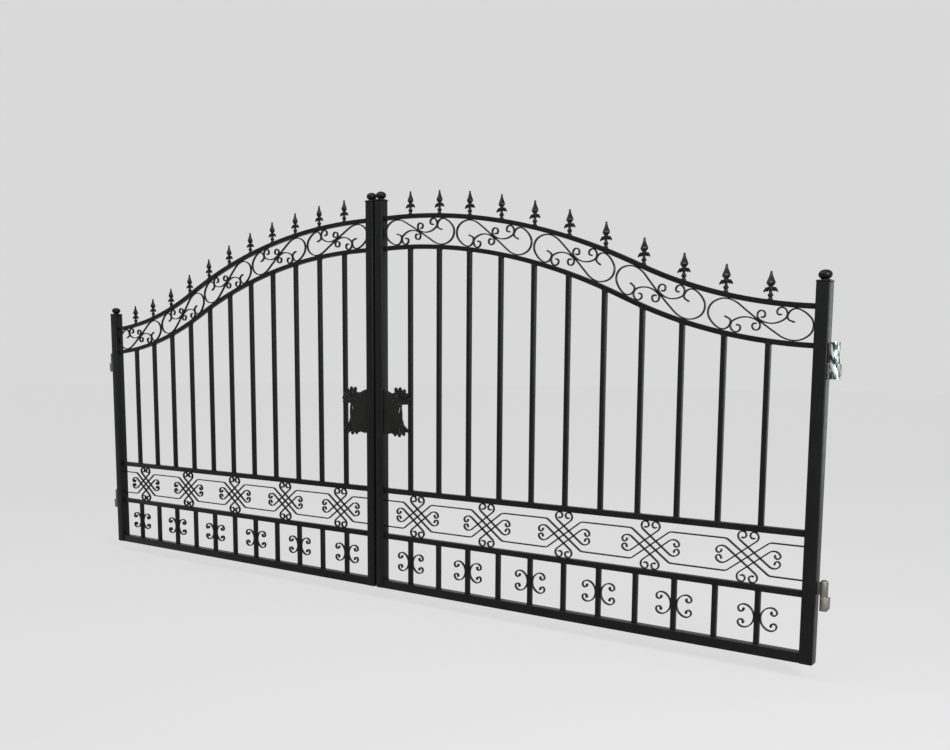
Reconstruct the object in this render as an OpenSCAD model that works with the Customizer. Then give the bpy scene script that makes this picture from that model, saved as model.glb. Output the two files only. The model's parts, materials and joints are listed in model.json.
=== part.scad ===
// Wrought iron driveway gate, double swing, closed and latched in line.
// +X runs along the gate, +Y goes through it to the far side, +Z is up.
// The origin is on the outer face of the left lower hinge's welding pad.

/* [Node] */

/* [Overall] */
gate_width = 4270;      // outer side of one hinge stile to the other
arch_top = 1787;        // upper face of the arch at the middle
stile_above = 73;       // stile tops, without their caps, over the arch
leaf_gap = 14;          // gap between the two meeting stiles

/* [Bars] */
hinge_stile = 50;
meet_stile = 45;
arch_rail = 20;
arch_clear = 119;       // clear height between the two arch rails
cross_rail = 25;
bottom_rail = 40;
picket = 20;
scroll_bar = 5;         // scroll and knot bars, across
scroll_depth = 12;      // and through the gate
low_rail_z = 246.5;     // underside of the lower rail
mid_rail_z = 471;       // underside of the mid rail
first_picket_gap = 158; // meeting stile's inner side to the first picket's middle
picket_pitch = 170.6;
lock_z = 873;           // middle of the lock plates

/* [Hinges] */
hinge_offset = 24;      // pin axis out from the stile
barrel_r = 14;
half_height = 54;
pin_r = 7;
hinge_below_top = 287;  // upper hinge, down from the hinge stile's top
lower_hinge_z = 260;

/* [Hidden] */
black = [0.05, 0.05, 0.055];
zinc = [0.55, 0.56, 0.56];
half_w = gate_width / 2;
x_in = leaf_gap / 2 + meet_stile;
x_out = half_w - hinge_stile;
first_picket = x_in + first_picket_gap;
picket_count = floor((x_out - first_picket - picket) / picket_pitch) + 1;
hinge_x = half_w + hinge_offset;
pad_x = hinge_x + 20;
weld_gap = 0.15;

// The arch: level, a convex bend, a short straight, then a reverse bend that
// is nearly level again at the hinge stile. Offsets v are square to it.
arch_mid = arch_top - arch_rail - arch_clear / 2;
arch_half = arch_clear / 2 + arch_rail;
level_end = 100;
bend_angle = 24.5;
end_angle = 4;
full_bend_1 = 3000 - arch_half;
full_bend_2 = 1950 + arch_half;
bent_run = full_bend_1 * sin(bend_angle) + full_bend_2 * (sin(bend_angle) - sin(end_angle));
bend_fit = min(1, (x_out - level_end) / bent_run);
bend_1 = bend_fit * full_bend_1;
bend_2 = bend_fit * full_bend_2;
straight_run = (x_out - level_end - bend_fit * bent_run) / cos(bend_angle);
c1 = [level_end, arch_mid - bend_1];
p1 = c1 + bend_1 * [sin(bend_angle), cos(bend_angle)];
p2 = p1 + straight_run * [cos(bend_angle), -sin(bend_angle)];
c2 = p2 + bend_2 * [sin(bend_angle), cos(bend_angle)];
s0 = level_end - x_in;
s1 = s0 + bend_1 * bend_angle * PI / 180;
s2 = s1 + straight_run;
s3 = s2 + bend_2 * (bend_angle - end_angle) * PI / 180;

function arch_tilt(s) = s < s0 ? 0
    : s < s1 ? (s - s0) / bend_1 * 180 / PI
    : s < s2 ? bend_angle
    : bend_angle - (s - s2) / bend_2 * 180 / PI;
function arch_point(s, v) = let (t = arch_tilt(s))
    (s < s0 ? [x_in + s, arch_mid]
    : s < s1 ? c1 + bend_1 * [sin(t), cos(t)]
    : s < s2 ? p1 + (s - s1) * [cos(t), -sin(t)]
    : c2 - bend_2 * [sin(t), cos(t)]) + v * [sin(t), cos(t)];
function arch_edge(v, n = 32) = concat(
    [[x_in, arch_mid + v]],
    [for (i = [0 : n]) let (t = bend_angle * i / n) c1 + (bend_1 + v) * [sin(t), cos(t)]],
    [for (i = [straight_run > 0.01 ? 0 : 1 : n]) let (e = asin((c2[0] - x_out) / (bend_2 - v)),
        t = bend_angle + (e - bend_angle) * i / n) c2 - (bend_2 - v) * [sin(t), cos(t)]]);
function arch_z(x, v) = let (xa = c1[0] + (bend_1 + v) * sin(bend_angle),
        xb = c2[0] - (bend_2 - v) * sin(bend_angle))
    x < level_end ? arch_mid + v
    : x < xa ? c1[1] + sqrt(pow(bend_1 + v, 2) - pow(x - c1[0], 2))
    : x < xb ? c1[1] + (bend_1 + v) * cos(bend_angle) - (x - xa) * tan(bend_angle)
    : c2[1] - sqrt(pow(bend_2 - v, 2) - pow(c2[0] - x, 2));
hinge_stile_top = round(arch_z(x_out, arch_half) + stile_above);
meet_stile_top = arch_top + stile_above;
upper_hinge_z = hinge_stile_top - hinge_below_top;

// A bar's centre line is walked from a start point: [0, length] is a straight,
// [radius, angle] a bend, to the left when the angle is positive.
function reversed(a) = [for (i = [len(a) - 1 : -1 : 0]) a[i]];
function unit(v) = v / norm(v);
function bend_point(p, h, r, a, t) = let (k = a < 0 ? -1 : 1)
    p + k * r * [-sin(h) + sin(h + t), cos(h) - cos(h + t)];
function walk(p, h, moves, turn = 15, i = 0) = i == len(moves) ? [p]
    : let (r = moves[i][0], a = moves[i][1])
      r == 0 ? concat([p], walk(p + a * [cos(h), sin(h)], h, moves, turn, i + 1))
    : let (n = max(2, ceil(abs(a) / turn)))
      concat([p], [for (k = [1 : n - 1]) bend_point(p, h, r, a, a * k / n)],
          walk(bend_point(p, h, r, a, a), h + a, moves, turn, i + 1));
function side(path, i) = let (d = unit(path[min(i + 1, len(path) - 1)] - path[max(i - 1, 0)])) [-d[1], d[0]];
function ribbon(path, w) = concat(
    [for (i = [0 : len(path) - 1]) path[i] + w / 2 * side(path, i)],
    [for (i = [len(path) - 1 : -1 : 0]) path[i] - w / 2 * side(path, i)]);

module place(left) {
    translate([pad_x, 0, -(lower_hinge_z - half_height / 2)])
        mirror([left ? 1 : 0, 0, 0]) children();
}
// A flat shape drawn in X and Z, given its depth along Y.
module upright(depth, y0) {
    translate([0, y0 + depth, 0]) rotate([90, 0, 0]) linear_extrude(depth) children();
}
module bar_2d(path, w = scroll_bar) { polygon(ribbon(path, w)); }

// ---- stiles and their caps
module stile_shape(x0, w, h) { translate([x0, -w / 2, 0]) cube([w, w, h]); }
module ball_shape(x, z, plate) {
    translate([x - plate / 2, -plate / 2, z]) cube([plate, plate, 8]);
    translate([x, 0, z + 8]) rotate_extrude($fn = 48) polygon(concat(
        [[0, 0], [13, 0], [13, 3]],
        [for (a = [-60 : 10 : 80]) [24.5 * cos(a), 18.5 + 18 * sin(a)]],
        [[0, 36.5]]));
}
module left_hinge_stile() { color(black) place(true) stile_shape(x_out, hinge_stile, hinge_stile_top); }
module right_hinge_stile() { color(black) place(false) stile_shape(x_out, hinge_stile, hinge_stile_top); }
module left_hinge_cap() { color(black) place(true) ball_shape(x_out + hinge_stile / 2, hinge_stile_top, hinge_stile + 2); }
module right_hinge_cap() { color(black) place(false) ball_shape(x_out + hinge_stile / 2, hinge_stile_top, hinge_stile + 2); }
module left_meeting_stile() { color(black) place(true) stile_shape(leaf_gap / 2, meet_stile, meet_stile_top); }
module right_meeting_stile() { color(black) place(false) stile_shape(leaf_gap / 2, meet_stile, meet_stile_top); }
module left_meeting_cap() { color(black) place(true) ball_shape(leaf_gap / 2 + meet_stile / 2, meet_stile_top, meet_stile + 2); }
module right_meeting_cap() { color(black) place(false) ball_shape(leaf_gap / 2 + meet_stile / 2, meet_stile_top, meet_stile + 2); }

// ---- rails
module arch_shape(v0) {
    upright(arch_rail, -arch_rail / 2)
        polygon(concat(arch_edge(v0 + arch_rail), reversed(arch_edge(v0))));
}
module rail_shape(z, s) { translate([x_in, -s / 2, z]) cube([x_out - x_in, s, s]); }
module left_upper_arch() { color(black) place(true) arch_shape(arch_clear / 2); }
module right_upper_arch() { color(black) place(false) arch_shape(arch_clear / 2); }
module left_lower_arch() { color(black) place(true) arch_shape(-arch_half); }
module right_lower_arch() { color(black) place(false) arch_shape(-arch_half); }
module left_mid_rail() { color(black) place(true) rail_shape(mid_rail_z, cross_rail); }
module right_mid_rail() { color(black) place(false) rail_shape(mid_rail_z, cross_rail); }
module left_lower_rail() { color(black) place(true) rail_shape(low_rail_z, cross_rail); }
module right_lower_rail() { color(black) place(false) rail_shape(low_rail_z, cross_rail); }
module left_bottom_rail() { color(black) place(true) rail_shape(0, bottom_rail); }
module right_bottom_rail() { color(black) place(false) rail_shape(0, bottom_rail); }

// ---- pickets
function picket_x(i) = first_picket + picket_pitch * i;
module pickets_shape() {
    for (i = [0 : picket_count - 1]) let (x = picket_x(i), h = picket / 2)
        upright(picket, -h) polygon([[x - h, mid_rail_z + cross_rail], [x + h, mid_rail_z + cross_rail],
            [x + h, arch_z(x + h, -arch_half) - weld_gap], [x - h, arch_z(x - h, -arch_half) - weld_gap]]);
}
module short_pickets_shape() {
    for (i = [0 : picket_count - 1])
        translate([picket_x(i) - picket / 2, -picket / 2, bottom_rail])
            cube([picket, picket, low_rail_z - bottom_rail]);
}
module left_pickets() { color(black) place(true) pickets_shape(); }
module right_pickets() { color(black) place(false) pickets_shape(); }
module left_short_pickets() { color(black) place(true) short_pickets_shape(); }
module right_short_pickets() { color(black) place(false) short_pickets_shape(); }

// ---- cast spear finials
module spear_shape(x) {
    z = arch_z(x, arch_half);
    b = 9;
    upright(2 * b, -b) polygon([[x - b, arch_z(x - b, arch_half) + weld_gap], [x + b, arch_z(x + b, arch_half) + weld_gap],
        [x + b, z + 7], [x - b, z + 7]]);
    translate([x, 0, z + 7]) rotate_extrude($fn = 48) polygon([[0, 0], [8, 0], [6, 4], [6, 7],
        [9.5, 11], [9.5, 14], [6.5, 18], [6, 24], [7, 31], [8, 36], [0, 38]]);
    // two drooping leaves
    for (m = [-1, 1]) upright(8, -4) polygon([for (p = [[0, 42], [8, 44], [14, 43], [20, 41], [25, 36],
        [28, 28], [23, 31], [18, 30], [13, 29], [8, 27], [0, 29]]) [x + m * p[0], z + p[1]]]);
    // faceted head
    translate([x, 0, z + 40]) rotate([0, 0, 45]) intersection() {
        rotate([90, 0, 0]) linear_extrude(40, center = true) head_2d();
        rotate([90, 0, 90]) linear_extrude(40, center = true) head_2d();
    }
    translate([x, 0, z + 99]) sphere(4, $fn = 24);
}
module head_2d() {
    polygon([[-4.5, 0], [4.5, 0], [8, 10], [10.6, 20], [7.5, 33], [4.6, 45], [2.8, 57], [-2.8, 57],
        [-4.6, 45], [-7.5, 33], [-10.6, 20], [-8, 10]]);
}
module spears_shape() { for (i = [0 : picket_count - 1]) spear_shape(picket_x(i)); }
module left_spears() { color(black) place(true) spears_shape(); }
module right_spears() { color(black) place(false) spears_shape(); }

// ---- scrollwork between the arch rails
scroll_fit = (arch_clear / 2 - scroll_bar / 2 - weld_gap) / 56.35;
s_half = walk([0, 0], -27, [[0, 96.7], [114, 27], [76, 45], [44, 90], [107, 25], [54, 20],
    [29, 90], [15, 75], [0, 16]]);
s_path = concat(reversed([for (i = [1 : len(s_half) - 1]) -s_half[i]]), s_half);
c_right = walk([-40, 5], 0, [[90, -25], [20, -65], [15, -180], [9, -110]]);
c_left = walk([-40, 5], 180, [[85, 42], [20, 48], [24.6, 90], [16, 90], [11, 120]]);
c_path = concat(reversed(c_left), [for (i = [1 : len(c_right) - 1]) c_right[i]]);
function on_arch(path, s, k) = [for (p = path) arch_point(s + k * scroll_fit * p[0], k * scroll_fit * p[1])];
module arch_unit(s) {
    upright(scroll_depth, -scroll_depth / 2) offset(delta = 0) {
        bar_2d(on_arch(s_path, s, 1));
        bar_2d(on_arch(c_path, s, 1));
        bar_2d(on_arch(c_path, s, -1));
    }
}
module arch_scrolls_shape() {
    unit_count = floor(s3 / (416 * scroll_fit));
    step = s3 / unit_count;
    for (i = [0 : unit_count - 1]) arch_unit((i + 0.5) * step);
}
module left_arch_scrolls() { color(black) place(true) arch_scrolls_shape(); }
module right_arch_scrolls() { color(black) place(false) arch_scrolls_shape(); }

// ---- knot band: each knot drawn at its own size, then fitted between the rails
band_half = (mid_rail_z - low_rail_z - cross_rail) / 2;
band_mid = low_rail_z + cross_rail + band_half;
knot_tilt = 37.6;
cross_x = 48;
cross_z = 37;
link_x = 84;
link_z = 63;
top_curl = walk([0, cross_z], knot_tilt, [[0, 39.4], [22, 90 - knot_tilt], [18, 90], [14, 90], [11, 120]], 22.5);
side_curl = walk([cross_x, 0], knot_tilt, [[0, 43], [32, -knot_tilt], [26, -50], [13, -40], [10.5, -190]], 22.5);
knot_fit = (band_half - scroll_bar / 2 - weld_gap) / 96.47;
knot_pitch = 402 * knot_fit;
knot_count = floor((x_out - x_in) / knot_pitch);
module knot_2d() {
    for (a = [-1, 1], b = [-1, 1]) {
        for (path = [top_curl, side_curl, [[-cross_x, 0], [0, cross_z]], [[0, 0], [link_x, link_z]]])
            bar_2d([for (p = path) knot_fit * [a * p[0], b * p[1]]]);
    }
}
module link_2d(xa, xb) {
    for (m = [-1, 1]) translate([xa, band_mid + m * knot_fit * link_z - scroll_bar / 2]) square([xb - xa, scroll_bar]);
}
module knots_shape() {
    reach = knot_fit * link_x - scroll_bar / 4;
    first = x_in + (x_out - x_in - knot_pitch * (knot_count - 1)) / 2 - 8;
    last = first + knot_pitch * (knot_count - 1);
    upright(scroll_depth, -scroll_depth / 2) offset(delta = 0) {
        for (i = [0 : knot_count - 1]) translate([first + i * knot_pitch, band_mid]) knot_2d();
        for (i = [0 : 1 : knot_count - 2]) link_2d(first + i * knot_pitch + reach, first + (i + 1) * knot_pitch - reach);
        link_2d(x_in + weld_gap, first - reach);
        link_2d(last + reach, x_out - weld_gap);
    }
}
module left_knots() { color(black) place(true) knots_shape(); }
module right_knots() { color(black) place(false) knots_shape(); }

// ---- C-scroll pairs on the short pickets
half_c = walk([0, 0], 90, [[46, -62], [34, -32], [24, -46], [14, -50], [11, -130], [8, -60]]);
pair_c = concat(reversed([for (i = [1 : len(half_c) - 1]) [half_c[i][0], -half_c[i][1]]]), half_c);
module c_scrolls_shape() {
    zc = (bottom_rail + low_rail_z) / 2;
    for (i = [0 : 2 : picket_count - 1], m = [-1, 1]) upright(scroll_depth, -scroll_depth / 2)
        bar_2d([for (p = pair_c) [picket_x(i) + m * (picket / 2 + scroll_bar / 2 + weld_gap + p[0]), zc + p[1]]]);
}
module left_c_scrolls() { color(black) place(true) c_scrolls_shape(); }
module right_c_scrolls() { color(black) place(false) c_scrolls_shape(); }

// ---- cast lock plate beside the meeting stile, its two shells over the first picket
plate_thick = 8;
// One petal of a shell: a widening rib with a round end.
module petal_2d(a, b, r) {
    d = unit(b - a);
    n = [-d[1], d[0]];
    polygon([a + 4 * n, b + r * n, b - r * n, a - 4 * n]);
    translate(b) circle(r, $fn = 24);
}
module lock_plate_2d() {
    // core with its hollow-edged top and foot, and the curved rim on the outer side
    difference() {
        polygon([[0, -112], [0, 101], [9, 100], [33, 92], [59, 84], [74, 92], [96, 60], [114, 20], [118, -20],
            [112, -60], [96, -90], [72, -112], [59, -113], [43, -109], [30, -113]]);
        translate([99, 4]) rotate(-12) square([4.5, 42], center = true);
        translate([93, 36]) rotate(-32) square([4, 14], center = true);
    }
    for (p = [[79, 101, 11], [105, 102, 11.5], [131, 94, 11], [149, 76, 10.5], [158, 56, 9.5], [156, 38, 8.5]])
        petal_2d([92, 44], [p[0], p[1]], p[2]);
    for (p = [[73, -113, 10], [100, -115, 11], [127, -108, 10.5], [149, -92, 9.5]])
        petal_2d([98, -60], [p[0], p[1]], p[2]);
    polygon([[96, 30], [116, 32], [150, 31], [112, 6]]);
    polygon([[104, -44], [116, -30], [128, -66], [150, -84], [110, -80]]);
}
module lock_plate_shape() {
    fit = (first_picket_gap + picket / 2) / 168;
    upright(plate_thick, -picket / 2 - plate_thick) offset(delta = 0)
        translate([x_in, lock_z]) scale([fit, fit]) lock_plate_2d();
}
module left_lock_plate() { color(black) place(true) lock_plate_shape(); }
module right_lock_plate() { color(black) place(false) lock_plate_shape(); }

// ---- barrel hinges: the upper half on the stile, the lower half with the pin
module barrels_shape() {
    for (z = [upper_hinge_z, lower_hinge_z]) difference() {
        union() {
            translate([hinge_x, 0, z + 0.4]) cylinder(r = barrel_r, h = half_height - 0.4, $fn = 48);
            translate([hinge_x, 0, z + half_height]) cylinder(r1 = barrel_r, r2 = 7, h = 6, $fn = 48);
            translate([half_w, -8, z + 4]) cube([hinge_offset - 2, 16, half_height - 8]);
        }
        translate([hinge_x, 0, z - 1]) cylinder(r = pin_r + 0.05, h = half_height - 5, $fn = 48);
    }
}
module pin_shape(z) {
    translate([hinge_x, 0, z - half_height]) cylinder(r = barrel_r, h = half_height, $fn = 48);
    translate([hinge_x, 0, z - 1]) cylinder(r = pin_r, h = half_height - 9, $fn = 48);
    upright(24, -12) polygon([[hinge_x, z - 3], [pad_x, z - 3], [pad_x, z - half_height + 10],
        [pad_x - 7, z - half_height], [hinge_x, z - half_height]]);
}
module left_hinge_barrels() { color(zinc) place(true) barrels_shape(); }
module right_hinge_barrels() { color(zinc) place(false) barrels_shape(); }
module left_lower_pin() { color(zinc) place(true) pin_shape(lower_hinge_z); }
module left_upper_pin() { color(zinc) place(true) pin_shape(upper_hinge_z); }
module right_lower_pin() { color(zinc) place(false) pin_shape(lower_hinge_z); }
module right_upper_pin() { color(zinc) place(false) pin_shape(upper_hinge_z); }

left_lower_pin();
left_upper_pin();
right_lower_pin();
right_upper_pin();
left_hinge_stile();
left_hinge_cap();
left_meeting_stile();
left_meeting_cap();
left_upper_arch();
left_lower_arch();
left_mid_rail();
left_lower_rail();
left_bottom_rail();
left_pickets();
left_short_pickets();
left_spears();
left_arch_scrolls();
left_knots();
left_c_scrolls();
left_lock_plate();
left_hinge_barrels();
right_hinge_stile();
right_hinge_cap();
right_meeting_stile();
right_meeting_cap();
right_upper_arch();
right_lower_arch();
right_mid_rail();
right_lower_rail();
right_bottom_rail();
right_pickets();
right_short_pickets();
right_spears();
right_arch_scrolls();
right_knots();
right_c_scrolls();
right_lock_plate();
right_hinge_barrels();
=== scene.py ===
import json
import math

import bmesh
import bpy
from mathutils import Matrix, Vector, noise


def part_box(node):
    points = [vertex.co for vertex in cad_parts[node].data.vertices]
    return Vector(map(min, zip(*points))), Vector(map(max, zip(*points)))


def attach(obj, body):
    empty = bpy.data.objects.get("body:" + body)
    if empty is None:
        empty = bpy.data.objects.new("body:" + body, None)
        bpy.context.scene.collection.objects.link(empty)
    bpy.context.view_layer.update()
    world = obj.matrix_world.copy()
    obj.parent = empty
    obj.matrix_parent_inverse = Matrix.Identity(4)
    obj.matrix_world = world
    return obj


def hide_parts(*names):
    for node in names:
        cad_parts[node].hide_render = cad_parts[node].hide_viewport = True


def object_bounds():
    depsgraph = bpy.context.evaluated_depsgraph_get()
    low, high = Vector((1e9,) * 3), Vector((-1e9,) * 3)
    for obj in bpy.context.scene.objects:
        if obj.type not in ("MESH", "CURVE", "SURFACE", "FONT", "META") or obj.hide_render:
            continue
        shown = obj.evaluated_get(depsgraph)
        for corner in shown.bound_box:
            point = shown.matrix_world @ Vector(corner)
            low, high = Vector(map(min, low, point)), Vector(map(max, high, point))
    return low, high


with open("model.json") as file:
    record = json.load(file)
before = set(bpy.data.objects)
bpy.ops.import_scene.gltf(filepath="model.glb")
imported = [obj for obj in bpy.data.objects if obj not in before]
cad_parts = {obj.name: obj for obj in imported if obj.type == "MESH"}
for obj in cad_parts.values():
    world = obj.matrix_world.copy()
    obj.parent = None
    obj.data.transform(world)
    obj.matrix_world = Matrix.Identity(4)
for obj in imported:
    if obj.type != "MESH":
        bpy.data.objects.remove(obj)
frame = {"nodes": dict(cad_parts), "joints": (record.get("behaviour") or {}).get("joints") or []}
cad_box = [list(corner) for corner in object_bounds()]


# ---- The stiles: 50 mm square steel tube on the hinge side of each leaf and 45 mm where the leaves meet.
# ---- Tube of this kind is cold rolled, so its corners are rounded; it is cut to length, welded up and
# ---- finished in black powder coat, which lies a little thick and has a faint orange peel.
middle = (cad_box[0][0] + cad_box[1][0]) / 2
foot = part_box("right_bottom_rail")[0].z
sides = {"left": -1, "right": 1}
stile_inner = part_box("right_meeting_stile")[1].x - middle
stile_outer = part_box("right_hinge_stile")[0].x - middle


def add_node(nodes, kind, inputs=None, **settings):
    made = nodes.new("ShaderNode" + kind)
    for key, value in settings.items():
        setattr(made, key, value)
    for key, value in (inputs or {}).items():
        made.inputs[key].default_value = value
    return made


def ramp(nodes, stops):
    made = nodes.new("ShaderNodeValToRGB")
    while len(made.color_ramp.elements) < len(stops):
        made.color_ramp.elements.new(0.5)
    for element, (place, colour) in zip(made.color_ramp.elements, stops):
        element.position = place
        element.color = (*colour, 1)
    return made


coat_sheen = 0.13
most_dust = 0.22
dust_grey = (0.045, 0.043, 0.040, 1)


def powder_coat(name, peel_scale, peel_strength, dark, worn, gloss):
    """Black coat: mottled colour, uneven gloss, orange peel, and a little dust on faces that look up."""
    coat = bpy.data.materials.new(name)
    coat.use_nodes = True
    nodes, links = coat.node_tree.nodes, coat.node_tree.links
    shader = nodes["Principled BSDF"]
    shader.inputs["Specular IOR Level"].default_value = coat_sheen
    place = add_node(nodes, "TexCoord")
    mottle = add_node(nodes, "TexNoise", {"Scale": 9.0, "Detail": 5.0, "Roughness": 0.6})
    tint = ramp(nodes, [(0.3, dark), (0.75, worn)])
    patches = add_node(nodes, "TexNoise", {"Scale": 38.0, "Detail": 6.0, "Roughness": 0.65})
    shine = add_node(
        nodes, "MapRange", {"From Min": 0.3, "From Max": 0.7, "To Min": gloss[0], "To Max": gloss[1]}
    )
    peel = add_node(nodes, "TexNoise", {"Scale": peel_scale, "Detail": 2.0})
    runs = add_node(nodes, "TexNoise", {"Scale": 60.0, "Detail": 3.0})
    fine = add_node(nodes, "Bump", {"Strength": peel_strength, "Distance": 0.0004})
    broad = add_node(nodes, "Bump", {"Strength": 0.05, "Distance": 0.0010})
    facing = add_node(nodes, "NewGeometry")
    split = add_node(nodes, "SeparateXYZ")
    upward = add_node(
        nodes, "MapRange", {"From Min": 0.55, "From Max": 1.0, "To Min": 0.0, "To Max": most_dust}
    )
    specks = add_node(nodes, "TexNoise", {"Scale": 160.0, "Detail": 4.0})
    sift = add_node(nodes, "Math", operation="MULTIPLY")
    dusty = add_node(nodes, "Mix", data_type="RGBA")
    dusty.inputs[7].default_value = dust_grey
    for source, target in (
        (place.outputs["Object"], mottle.inputs["Vector"]),
        (place.outputs["Object"], patches.inputs["Vector"]),
        (place.outputs["Object"], peel.inputs["Vector"]),
        (place.outputs["Object"], runs.inputs["Vector"]),
        (place.outputs["Object"], specks.inputs["Vector"]),
        (mottle.outputs["Fac"], tint.inputs["Fac"]),
        (tint.outputs["Color"], dusty.inputs[6]),
        (facing.outputs["Normal"], split.inputs[0]),
        (split.outputs["Z"], upward.inputs["Value"]),
        (upward.outputs["Result"], sift.inputs[0]),
        (specks.outputs["Fac"], sift.inputs[1]),
        (sift.outputs[0], dusty.inputs[0]),
        (dusty.outputs[2], shader.inputs["Base Color"]),
        (patches.outputs["Fac"], shine.inputs["Value"]),
        (shine.outputs["Result"], shader.inputs["Roughness"]),
        (runs.outputs["Fac"], broad.inputs["Height"]),
        (peel.outputs["Fac"], fine.inputs["Height"]),
        (broad.outputs["Normal"], fine.inputs["Normal"]),
        (fine.outputs["Normal"], shader.inputs["Normal"]),
    ):
        links.new(source, target)
    return coat


tube_coat = powder_coat(
    "coated_tube", 900.0, 0.035, (0.0020, 0.0021, 0.0022), (0.0044, 0.0044, 0.0046), (0.28, 0.42)
)


def piece_from(name, metal, finish, body, nodes=(), crease=32):
    """Closes off one made piece: normals out, smooth where it is round, coated, on its leaf."""
    bmesh.ops.recalc_face_normals(metal, faces=metal.faces)
    mesh = bpy.data.meshes.new(name)
    metal.to_mesh(mesh)
    metal.free()
    mesh.shade_smooth()
    mesh.set_sharp_from_angle(angle=math.radians(crease))
    piece = bpy.data.objects.new(name, mesh)
    bpy.context.scene.collection.objects.link(piece)
    mesh.materials.append(finish)
    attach(piece, body)
    if nodes:
        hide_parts(*nodes)
    return piece


def rolled(node, corner, segments=4):
    """The steel of one node with its long corners rounded."""
    metal = bmesh.new()
    metal.from_mesh(frame["nodes"][node].data)
    bmesh.ops.remove_doubles(metal, verts=metal.verts, dist=1e-5)
    bmesh.ops.dissolve_limit(metal, angle_limit=math.radians(0.15), verts=metal.verts, edges=metal.edges)
    hard = [e for e in metal.edges if len(e.link_faces) == 2 and e.calc_face_angle(0) > math.radians(40)]
    bmesh.ops.bevel(
        metal, geom=hard, offset=corner, segments=segments, profile=0.5, affect="EDGES", clamp_overlap=True
    )
    return metal


for side in sides:
    for stile, corner in (("hinge_stile", 0.0040), ("meeting_stile", 0.0036)):
        node = f"{side}_{stile}"
        tube = rolled(node, corner)
        piece_from(f"{node}_tube", tube, tube_coat, f"{side}_leaf", [node])


# ---- The cross rails: 25 mm square tube above and below the knot band and 40 mm tube along the bottom,
# ---- all cut square and welded between the two stiles.
for side in sides:
    for rail, corner in (("mid_rail", 0.0026), ("lower_rail", 0.0026), ("bottom_rail", 0.0034)):
        node = f"{side}_{rail}"
        tube = rolled(node, corner)
        piece_from(f"{node}_tube", tube, tube_coat, f"{side}_leaf", [node])


# ---- The two arch rails of each leaf: 20 mm square bar rolled to one sweep, level at the meeting stile,
# ---- falling to the hinge stile and easing level again, with a clear band between them for scrollwork.
arch_corner = 0.0022

for side in sides:
    for rail in ("upper_arch", "lower_arch"):
        node = f"{side}_{rail}"
        bar = rolled(node, arch_corner)
        piece_from(f"{node}_bar", bar, tube_coat, f"{side}_leaf", [node])

arch_rail = 0.020
arch_clear = 0.119
arch_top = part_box("right_upper_arch")[1].z - foot
arch_half = arch_clear / 2 + arch_rail
arch_mid = arch_top - arch_half
level_end = 0.100
outer_radius = 3.000
inner_radius = 1.950
bend_angle = math.radians(24.5)
end_angle = math.radians(4)
outer_bend = outer_radius - arch_half
inner_bend = inner_radius + arch_half
bent_run = outer_bend * math.sin(bend_angle) + inner_bend * (math.sin(bend_angle) - math.sin(end_angle))
straight = (stile_outer - level_end - bent_run) / math.cos(bend_angle)
hub_1 = Vector((level_end, arch_mid - outer_bend))
fall_1 = hub_1 + outer_bend * Vector((math.sin(bend_angle), math.cos(bend_angle)))
fall_2 = fall_1 + straight * Vector((math.cos(bend_angle), -math.sin(bend_angle)))
hub_2 = fall_2 + inner_bend * Vector((math.sin(bend_angle), math.cos(bend_angle)))
run_0 = level_end - stile_inner
run_1 = run_0 + outer_bend * bend_angle
run_2 = run_1 + straight
run_3 = run_2 + inner_bend * (bend_angle - end_angle)


def arch_tilt(run):
    if run < run_0:
        return 0.0
    if run < run_1:
        return (run - run_0) / outer_bend
    if run < run_2:
        return bend_angle
    return bend_angle - (run - run_2) / inner_bend


def arch_point(run, rise):
    """A point by its distance along the arch's middle line and its height square to it."""
    tilt = arch_tilt(run)
    up = Vector((math.sin(tilt), math.cos(tilt)))
    if run < run_0:
        on = Vector((stile_inner + run, arch_mid))
    elif run < run_1:
        on = hub_1 + outer_bend * up
    elif run < run_2:
        on = fall_1 + (run - run_1) * Vector((math.cos(tilt), -math.sin(tilt)))
    else:
        on = hub_2 - inner_bend * up
    return on + rise * up


def arch_height(x, rise):
    """Height of the arch over a place x along the leaf, with its slope there."""
    low, high = 0.0, run_3 + 0.05
    for _ in range(40):
        half = (low + high) / 2
        low, high = (half, high) if arch_point(half, rise).x < x else (low, half)
    return arch_point(low, rise).y, -math.tan(arch_tilt(low))


# ---- The pickets: 20 mm square bar between the mid rail and the lower arch, and short ones of the same
# ---- bar under the knot band. Each is set at the same pitch and fillet welded all round at both ends.
picket_count = 11
first_picket = stile_inner + 0.158
picket_pitch = 0.1706
picket_half = 0.010
picket_corner = 0.0024
picket_places = [first_picket + picket_pitch * i for i in range(picket_count)]
low_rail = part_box("right_lower_rail")
mid_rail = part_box("right_mid_rail")
bottom_rail_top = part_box("right_bottom_rail")[1].z - foot
low_rail_under, low_rail_top = low_rail[0].z - foot, low_rail[1].z - foot
mid_rail_under, mid_rail_top = mid_rail[0].z - foot, mid_rail[1].z - foot

for side in sides:
    for bars in ("pickets", "short_pickets"):
        node = f"{side}_{bars}"
        metal = rolled(node, picket_corner)
        piece_from(f"{node}_bars", metal, tube_coat, f"{side}_leaf", [node])


def leaf_point(sign, x, y, z):
    return Vector((middle + sign * x, y, foot + z))


def skin(metal, rings, closed=False):
    """Joins rings of points into a closed skin, with flat ends unless it runs round on itself."""
    made = [[metal.verts.new(p) for p in ring] for ring in rings]
    count = len(made[0])
    spans = list(zip(made, made[1:])) + ([(made[-1], made[0])] if closed else [])
    for a, b in spans:
        for i in range(count):
            metal.faces.new((a[i], a[(i + 1) % count], b[(i + 1) % count], b[i]))
    if not closed:
        metal.faces.new(made[0][::-1])
        metal.faces.new(made[-1])


ripple_pitch = 0.0028
picket_bead = 0.0017


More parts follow.
